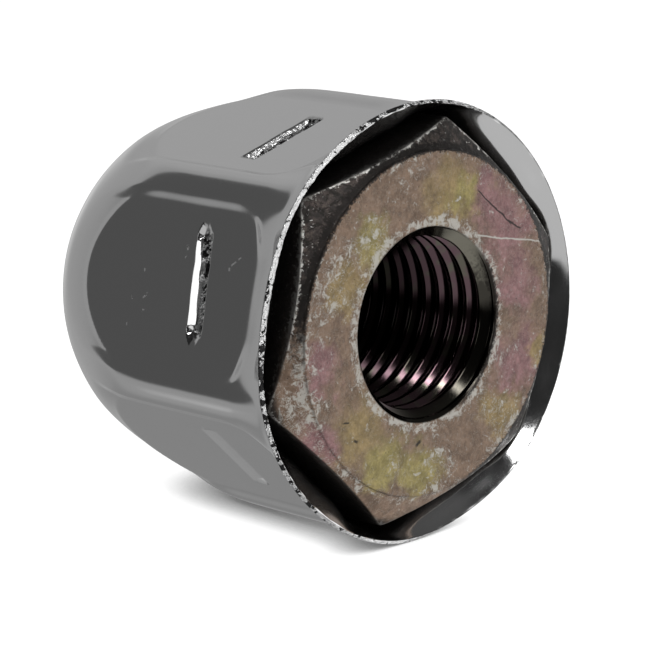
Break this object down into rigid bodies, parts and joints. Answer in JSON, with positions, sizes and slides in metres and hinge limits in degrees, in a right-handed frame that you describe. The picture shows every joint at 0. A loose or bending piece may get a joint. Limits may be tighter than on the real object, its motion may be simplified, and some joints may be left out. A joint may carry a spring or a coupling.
{
  "type": "lug nut cover",
  "caption": "Domed chrome-plated sheet cap with a hexagonal skirt and flared rim, crimped over a chamfered hex nut with a fine-threaded bore.",
  "frame": {"origin": "centre of the nut's seat face, the lowest face, on the axis of the bore", "axes": "+Z along the bore axis, from the open end towards the tip of the dome; two of the six flats face +Y and -Y"},
  "size_m": [0.0296, 0.0296, 0.0301],
  "materials": {
    "cover": "bright chrome plate on drawn steel sheet, lightly scratched",
    "nut": "yellow zinc dichromate plate, mottled tan, olive and pink, scuffed to grey"
  },
  "bodies": {
    "root": {"cover": "cover", "nut": "nut"}
  },
  "joints": []
}
